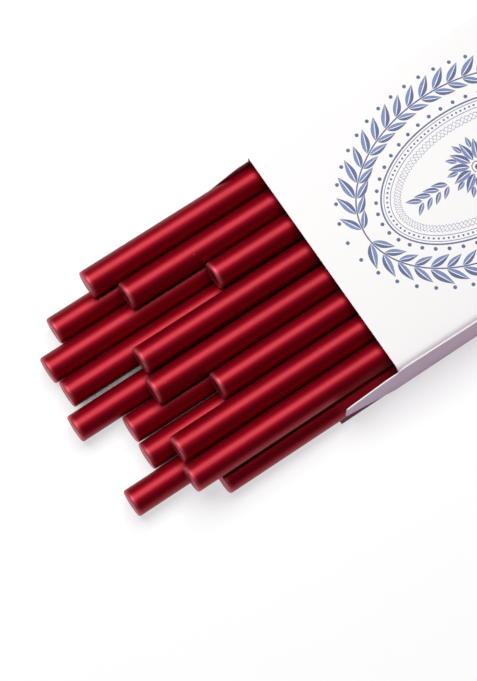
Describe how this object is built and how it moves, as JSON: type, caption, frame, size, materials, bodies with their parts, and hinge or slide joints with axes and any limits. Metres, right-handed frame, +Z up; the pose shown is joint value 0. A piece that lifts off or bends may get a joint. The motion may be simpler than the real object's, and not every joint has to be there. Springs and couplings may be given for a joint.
{
  "type": "sealing wax sticks in a carton",
  "caption": "Round pearl-red sealing wax sticks for a glue gun, stacked in layers and drawn part way out of an open tuck-end carton of white paperboard.",
  "frame": {"origin": "middle of the carton's underside, on the surface it lies on", "axes": "+X out of the open mouth along the sticks, +Y towards the glued seam wall, +Z up"},
  "size_m": [0.2459, 0.099, 0.025],
  "materials": {
    "wax": "pearl metallic red wax, smooth and glossy",
    "board": "coated white solid board, semi-gloss outside, raw cut edges"
  },
  "bodies": {
    "carton": {"carton_bottom_panel": "board", "carton_fold_wall": "board", "carton_seam_wall": "board", "carton_top_panel": "board", "carton_glue_tab": "board"},
    "wax_stick_upper_1": {"wax_stick_upper_1": "wax"},
    "wax_stick_upper_2": {"wax_stick_upper_2": "wax"},
    "wax_stick_upper_3": {"wax_stick_upper_3": "wax"},
    "wax_stick_upper_4": {"wax_stick_upper_4": "wax"},
    "wax_stick_upper_5": {"wax_stick_upper_5": "wax"},
    "wax_stick_upper_6": {"wax_stick_upper_6": "wax"},
    "wax_stick_upper_7": {"wax_stick_upper_7": "wax"},
    "wax_stick_upper_8": {"wax_stick_upper_8": "wax"},
    "wax_stick_lower_1": {"wax_stick_lower_1": "wax"},
    "wax_stick_lower_2": {"wax_stick_lower_2": "wax"},
    "wax_stick_lower_3": {"wax_stick_lower_3": "wax"},
    "wax_stick_lower_4": {"wax_stick_lower_4": "wax"},
    "wax_stick_lower_5": {"wax_stick_lower_5": "wax"},
    "wax_stick_lower_6": {"wax_stick_lower_6": "wax"},
    "wax_stick_lower_7": {"wax_stick_lower_7": "wax"},
    "wax_stick_lower_8": {"wax_stick_lower_8": "wax"},
    "front_dust_flap_fold": {"front_dust_flap_fold": "board"},
    "front_dust_flap_seam": {"front_dust_flap_seam": "board"},
    "front_lid_panel": {"front_lid_panel": "board"},
    "front_tuck_tongue": {"front_tuck_tongue": "board"},
    "rear_dust_flap_fold": {"rear_dust_flap_fold": "board"},
    "rear_dust_flap_seam": {"rear_dust_flap_seam": "board"},
    "rear_lid_panel": {"rear_lid_panel": "board"},
    "rear_tuck_tongue": {"rear_tuck_tongue": "board"}
  },
  "joints": [
    {"name": "wax_stick_upper_1_slide", "type": "slide", "parent": "carton", "child": "wax_stick_upper_1", "axis": [1, 0, 0], "range_m": [-0.07745, 0.097]},
    {"name": "wax_stick_upper_2_slide", "type": "slide", "parent": "carton", "child": "wax_stick_upper_2", "axis": [1, 0, 0], "range_m": [-0.06795, 0.1065]},
    {"name": "wax_stick_upper_3_slide", "type": "slide", "parent": "carton", "child": "wax_stick_upper_3", "axis": [1, 0, 0], "range_m": [-0.03695, 0.1375]},
    {"name": "wax_stick_upper_4_slide", "type": "slide", "parent": "carton", "child": "wax_stick_upper_4", "axis": [1, 0, 0], "range_m": [-0.07695, 0.0975]},
    {"name": "wax_stick_upper_5_slide", "type": "slide", "parent": "carton", "child": "wax_stick_upper_5", "axis": [1, 0, 0], "range_m": [-0.07945, 0.095]},
    {"name": "wax_stick_upper_6_slide", "type": "slide", "parent": "carton", "child": "wax_stick_upper_6", "axis": [1, 0, 0], "range_m": [-0.05895, 0.1155]},
    {"name": "wax_stick_upper_7_slide", "type": "slide", "parent": "carton", "child": "wax_stick_upper_7", "axis": [1, 0, 0], "range_m": [-0.08395, 0.0905]},
    {"name": "wax_stick_upper_8_slide", "type": "slide", "parent": "carton", "child": "wax_stick_upper_8", "axis": [1, 0, 0], "range_m": [-0.08595, 0.0885]},
    {"name": "wax_stick_lower_1_slide", "type": "slide", "parent": "carton", "child": "wax_stick_lower_1", "axis": [1, 0, 0], "range_m": [-0.09595, 0.0785]},
    {"name": "wax_stick_lower_2_slide", "type": "slide", "parent": "carton", "child": "wax_stick_lower_2", "axis": [1, 0, 0], "range_m": [-0.10595, 0.0685]},
    {"name": "wax_stick_lower_3_slide", "type": "slide", "parent": "carton", "child": "wax_stick_lower_3", "axis": [1, 0, 0], "range_m": [-0.10495, 0.0695]},
    {"name": "wax_stick_lower_4_slide", "type": "slide", "parent": "carton", "child": "wax_stick_lower_4", "axis": [1, 0, 0], "range_m": [-0.10945, 0.065]},
    {"name": "wax_stick_lower_5_slide", "type": "slide", "parent": "carton", "child": "wax_stick_lower_5", "axis": [1, 0, 0], "range_m": [-0.09295, 0.0815]},
    {"name": "wax_stick_lower_6_slide", "type": "slide", "parent": "carton", "child": "wax_stick_lower_6", "axis": [1, 0, 0], "range_m": [-0.09345, 0.081]},
    {"name": "wax_stick_lower_7_slide", "type": "slide", "parent": "carton", "child": "wax_stick_lower_7", "axis": [1, 0, 0], "range_m": [-0.10745, 0.067]},
    {"name": "wax_stick_lower_8_slide", "type": "slide", "parent": "carton", "child": "wax_stick_lower_8", "axis": [1, 0, 0], "range_m": [-0.07545, 0.099]},
    {"name": "front_dust_flap_fold_hinge", "type": "hinge", "parent": "carton", "child": "front_dust_flap_fold", "pos_m": [0.06925, -0.04945, 0.0125], "axis": [0, 0, -1], "range_deg": [0, 150]},
    {"name": "front_dust_flap_seam_hinge", "type": "hinge", "parent": "carton", "child": "front_dust_flap_seam", "pos_m": [0.06925, 0.04841, 0.0125], "axis": [0, -0.086, 0.9963], "range_deg": [0, 150]},
    {"name": "front_lid_hinge", "type": "hinge", "parent": "carton", "child": "front_lid_panel", "pos_m": [0.06925, 0, 0], "axis": [0, 1, 0], "range_deg": [0, 120]},
    {"name": "front_tongue_hinge", "type": "hinge", "parent": "front_lid_panel", "child": "front_tuck_tongue", "pos_m": [0.0927, 0, 0], "axis": [0, 1, 0], "range_deg": [0, 90]},
    {"name": "rear_dust_flap_fold_hinge", "type": "hinge", "parent": "carton", "child": "rear_dust_flap_fold", "pos_m": [-0.0685, -0.049, 0.0125], "axis": [0, 0, -1], "range_deg": [0, 75]},
    {"name": "rear_dust_flap_seam_hinge", "type": "hinge", "parent": "carton", "child": "rear_dust_flap_seam", "pos_m": [-0.0685, 0.049, 0.0125], "axis": [0, 0, 1], "range_deg": [0, 75]},
    {"name": "rear_lid_hinge", "type": "hinge", "parent": "carton", "child": "rear_lid_panel", "pos_m": [-0.06925, 0, 0.00045], "axis": [0, -1, 0], "range_deg": [0, 90]},
    {"name": "rear_tongue_hinge", "type": "hinge", "parent": "rear_lid_panel", "child": "rear_tuck_tongue", "pos_m": [-0.06925, 0, 0.02345], "axis": [0, -1, 0], "range_deg": [-54, 0]}
  ],
  "couplings": [
    {"joint": "rear_tongue_hinge", "follows": "rear_lid_hinge", "ratio": -0.6}
  ]
}
